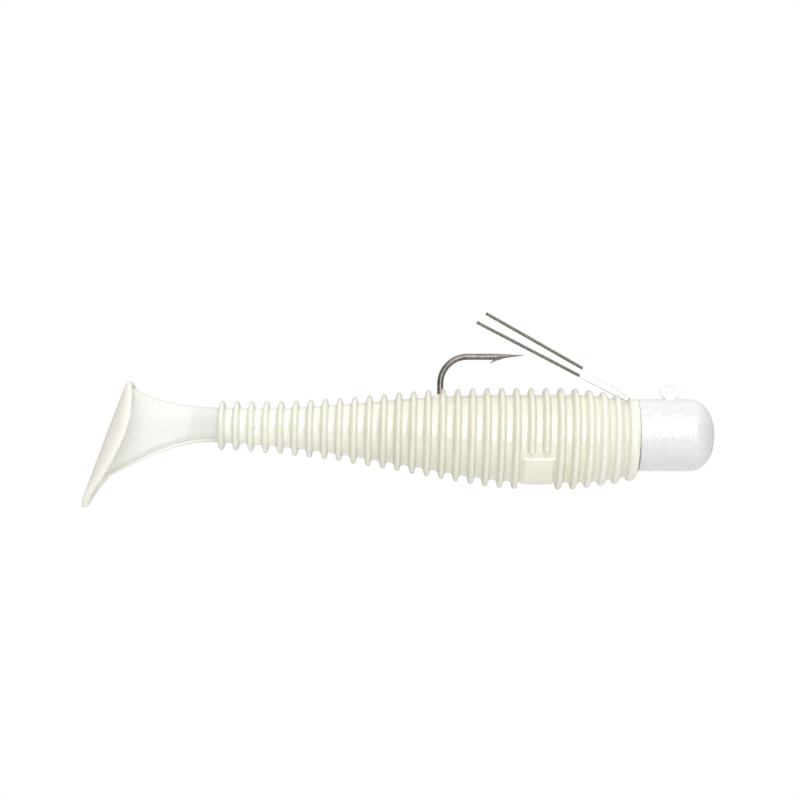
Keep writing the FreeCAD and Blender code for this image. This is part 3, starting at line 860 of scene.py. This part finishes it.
def hook_path():
    """The wire's centre line from its eye to its point."""
    heel_x = low("hook")[0] + HOOK_WIRE
    shank = HEAD_AXIS
    leg_z = np.linspace(-1.3 * MM, shank + LEG_BEND + CLEAR, 8)
    leg = np.stack([np.zeros(8), np.zeros(8), leg_z], axis=1)
    leg_bend = arc((-LEG_BEND, 0, shank + LEG_BEND), LEG_BEND, 0, -90, 14)
    run = np.linspace(-LEG_BEND - CLEAR, heel_x + HEEL_BEND + CLEAR, 24)
    straight = np.stack([run, np.zeros(24), np.full(24, shank)], axis=1)
    heel = arc((heel_x + HEEL_BEND, 0, shank + HEEL_BEND), HEEL_BEND, 270, 180, 26)
    up = np.linspace(shank + HEEL_BEND + CLEAR, CROWN_Z - CROWN_BEND - CLEAR, 8)
    back = np.stack([np.full(8, heel_x), np.zeros(8), up], axis=1)
    crown_bend = arc((heel_x + CROWN_BEND, 0, CROWN_Z - CROWN_BEND), CROWN_BEND, 180, 90, 40)
    front_x = np.linspace(heel_x + CROWN_BEND + CLEAR, POINT_X - CLEAR, 12)
    front = np.stack([front_x, np.zeros(12), np.full(12, CROWN_Z)], axis=1)
    path = np.concatenate([leg, leg_bend, straight, heel, back, crown_bend, front])
    radii = np.full(len(path), HOOK_WIRE)
    # the point: its upper edge drops a little while its lower edge rises to meet it
    steps = np.linspace(0, 1, 40) ** 0.9
    point_x = POINT_X + steps * POINT_LENGTH
    point_r = HOOK_WIRE * (1 - steps) ** 0.92 + 0.018 * MM
    point_z = CROWN_Z + HOOK_WIRE - point_r - POINT_DROP * steps ** 1.3
    point = np.stack([point_x, np.zeros(40), point_z], axis=1)
    return np.concatenate([path, point]), np.concatenate([radii, point_r])


def make_hook():
    path, radii = hook_path()
    segments = 28 if FINE else 12
    hook = tube("hook_wire", path, radii, segments, STEEL, "rig")
    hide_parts("hook")
    # the barb: a sliver cut up from the underside of the point
    root = np.array([-26.9, 0, 5.36]) * MM
    tip = np.array([-28.78, 0, 4.36]) * MM
    steps = np.linspace(0, 1, 16)
    line = root + (tip - root) * steps[:, None]
    line[:, 2] += 0.10 * MM * np.sin(steps * math.pi)
    thin = (1 - steps) ** 0.8
    width = np.stack([0.30 * thin + 0.02, 0.24 * thin + 0.015], axis=1) * MM
    columns = 16
    sides, ups = carried_frames(line)
    angle = np.linspace(0, 2 * math.pi, columns, endpoint=False)
    rings = (line[:, None, :] + sides[:, None, :] * (np.cos(angle)[None, :] * width[:, :1])[:, :, None]
             + ups[:, None, :] * (np.sin(angle)[None, :] * width[:, 1:])[:, :, None])
    flat, faces = closed_grid(rings.reshape(-1, 3), len(line), columns)
    add_mesh("hook_barb", flat, faces, STEEL, "rig")


def make_eye():
    """The line-tie eye, painted over with the head, and the paint that gathers at its foot."""
    ring_r, wire = 1.23 * MM, 0.435 * MM
    columns, count = (28, 96) if FINE else (12, 40)
    angle = np.radians(np.linspace(-96, 262, count))
    path = np.stack([ring_r * np.cos(angle), np.zeros(count), ring_r * np.sin(angle)], axis=1)
    tube("line_tie_eye", path, np.full(count, wire), columns, WIRE_PAINT_LIGHTER_COPY, "rig")
    top = HEAD_AXIS + HEAD_RADIUS
    around = 48
    angle = np.linspace(0, 2 * math.pi, around, endpoint=False)
    rings = []
    for height, radius in ((-0.35, 1.15), (-0.06, 0.98), (0.02, 0.86), (0.10, 0.70), (0.22, 0.56),
                           (0.38, 0.46), (0.55, 0.40)):
        rings.append(np.stack([radius * MM * np.cos(angle), 0.72 * radius * MM * np.sin(angle),
                               np.full(around, top + height * MM)], axis=1))
    flat, faces = closed_grid(np.concatenate(rings), len(rings), around)
    add_mesh("line_tie_foot", flat, faces, WIRE_PAINT_LIGHTER_COPY, "rig")


make_hook()
make_eye()


# ------------------------------------------------------------------ weed guard

# radii of a guard wire and of one of its strands, and the length in which a strand goes round once
GUARD_WIRE = 0.265 * MM
STRAND = 0.091 * MM
LAY = 5.4 * MM


def guard_line(side, name):
    """Root, joint and tip of one guard wire."""
    joint = JOINTS[name + "_guard_flex"]
    root_low, root_high = low("guard_wire_%s_root" % name), high("guard_wire_%s_root" % name)
    free_low, free_high = low("guard_wire_" + name), high("guard_wire_" + name)
    root_y = min(abs(root_low[1]), abs(root_high[1])) + GUARD_WIRE
    root = np.array([root_high[0] - 0.1 * MM, side * root_y, root_low[2] + 0.2 * MM])
    tip_y = max(abs(free_low[1]), abs(free_high[1])) - GUARD_WIRE
    tip = np.array([free_low[0] + 0.12 * MM, side * tip_y, free_high[2] - 0.2 * MM])
    return root, joint, tip


def guard_path(side, name, count):
    """The wire's centre line, with a gentle bend at its root."""
    root, joint, tip = guard_line(side, name)
    first = np.linspace(root, joint, 20)
    second = np.linspace(joint, tip, 60)[1:]
    line = np.concatenate([first, second])
    length = np.concatenate([[0], np.cumsum(np.linalg.norm(np.diff(line, axis=0), axis=1))])
    wanted = np.linspace(0, length[-1], count)
    path = np.stack([np.interp(wanted, length, line[:, k]) for k in range(3)], axis=1)
    return path, wanted


def make_guard(side, name, paint_x, seed):
    """Seven twisted strands, with the head's paint over the length in front of paint_x."""
    count = 200 if FINE else 60
    path, length = guard_path(side, name, count)
    sides, ups = carried_frames(path)
    jitter = np.random.default_rng(seed)
    all_points, all_faces = [], []
    columns = 10 if FINE else 6
    for strand in range(7):
        keep = count - (int(jitter.integers(0, 3)) if strand else 0)
        if strand:
            turn = 2 * math.pi * (strand / 6 + length[:keep] / LAY)
            radius = 2 * STRAND * 0.96
            centre = (path[:keep] + radius * (sides[:keep] * np.cos(turn)[:, None]
                                              + ups[:keep] * np.sin(turn)[:, None]))
        else:
            centre = path[:keep]
        strand_points = tube_points(centre, np.full(keep, STRAND), columns)
        points, faces = closed_grid(strand_points, keep, columns)
        base = sum(len(p) for p in all_points)
        all_faces += [tuple(v + base for v in face) for face in faces]
        all_points.append(points)
    cable = add_mesh("guard_cable_" + name, np.concatenate(all_points), all_faces, CABLE, None)
    joint = JOINTS[name + "_guard_flex"]
    direction = path[-1] - joint
    direction /= np.linalg.norm(direction)
    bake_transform(cable)
    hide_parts("guard_wire_" + name, "guard_wire_%s_root" % name)
    # the painted length
    inside = path[:, 0] >= paint_x
    coat = path[inside]
    far = length[inside]
    segments = 48 if FINE else 16
    angle = np.linspace(0, 2 * math.pi, segments, endpoint=False)
    twist = far[:, None] * 2 * math.pi / LAY
    lobes = np.cos(6 * (angle[None, :] - twist))
    ragged = 0.25 * MM * np.sin(angle * 2 + seed) + 0.12 * MM * np.sin(angle * 5 + 2 * seed)
    fade = smooth(far[-1] - far[:, None] + ragged[None, :], -0.05 * MM, 0.55 * MM)
    radii = (0.258 + 0.038 * fade + 0.012 * lobes) * MM
    sleeve = tube("guard_paint_" + name, coat, radii, segments, WIRE_PAINT_LIGHTER_COPY, None)
    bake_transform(sleeve)


make_guard(-1, "right", -14.1 * MM, 3)
make_guard(1, "left", -14.4 * MM, 8)


# ------------------------------------------------------------------ studio

centre = (Vector(cad_bounds[0]) + Vector(cad_bounds[1])) / 2


def make_stage():
    """A pale card well below the bait."""
    span = 0.9
    drop = cad_bounds[0][2] - 0.22
    signs = ((-1, -1), (1, -1), (1, 1), (-1, 1))
    corners = [(centre.x + a * span, centre.y + b * span, drop) for a, b in signs]
    floor = add_mesh("studio_floor", corners, [(0, 1, 2, 3)], floor_card())


def area_light(name, place, target, size, power):
    data = bpy.data.lights.new(name, "AREA")
    data.shape = "RECTANGLE"
    data.size, data.size_y = size
    data.energy = power
    lamp = bpy.data.objects.new(name, data)
    bpy.context.scene.collection.objects.link(lamp)
    lamp.location = place
    lamp.rotation_mode = "QUATERNION"
    lamp.rotation_quaternion = (Vector(target) - Vector(place)).to_track_quat("-Z", "Y")


def make_world():
    """White all round, a little brighter above than below for everything but the camera's own rays."""
    world = bpy.data.worlds.new("studio")
    bpy.context.scene.world = world
    world.use_nodes = True
    nodes, links = world.node_tree.nodes, world.node_tree.links
    nodes.clear()
    where = nodes.new("ShaderNodeTexCoord").outputs["Generated"]
    split = nodes.new("ShaderNodeSeparateXYZ")
    links.new(where, split.inputs[0])
    height = node(nodes, "ShaderNodeMapRange", {"From Min": -1.0, "From Max": 1.0})
    links.new(split.outputs["Z"], height.inputs["Value"])
    glow = ramp(nodes, links, height.outputs["Result"], ((0.0, (0.36, 0.35, 0.30)),
                                                         (0.5, (0.58, 0.58, 0.56)),
                                                         (1.0, (1.20, 1.20, 1.20))))
    seen = nodes.new("ShaderNodeLightPath").outputs["Is Camera Ray"]
    white = node(nodes, "ShaderNodeBackground", {"Color": (1, 1, 1, 1), "Strength": 1.0})
    light = nodes.new("ShaderNodeBackground")
    links.new(glow.outputs["Color"], light.inputs["Color"])
    mix = nodes.new("ShaderNodeMixShader")
    links.new(seen, mix.inputs["Fac"])
    links.new(light.outputs[0], mix.inputs[1])
    links.new(white.outputs[0], mix.inputs[2])
    out = nodes.new("ShaderNodeOutputWorld")
    links.new(mix.outputs[0], out.inputs["Surface"])


def make_camera():
    """Level with the bait, square to its right side; the frame is 128 mm wide at the bait."""
    distance, width = 0.360, 0.128
    data = bpy.data.cameras.new("camera")
    data.sensor_width = 36.0
    data.lens = data.sensor_width * distance / width
    data.clip_start, data.clip_end = 0.01, 10.0
    camera = bpy.data.objects.new("camera", data)
    bpy.context.scene.collection.objects.link(camera)
    camera.location = (centre.x + 0.535 * MM, -distance, centre.z + 1.81 * MM)
    camera.rotation_euler = (math.radians(90), 0, 0)
    bpy.context.scene.camera = camera


make_stage()
make_world()
make_camera()
area_light("front_box", centre + Vector((0.10, -0.645, 0.270)), centre, (0.65, 0.85), 4.8)
area_light("top_box", centre + Vector((0.0, 0.05, 0.7)), centre, (1.4, 1.2), 2.4)
bpy.context.scene.view_settings.view_transform = "Standard"
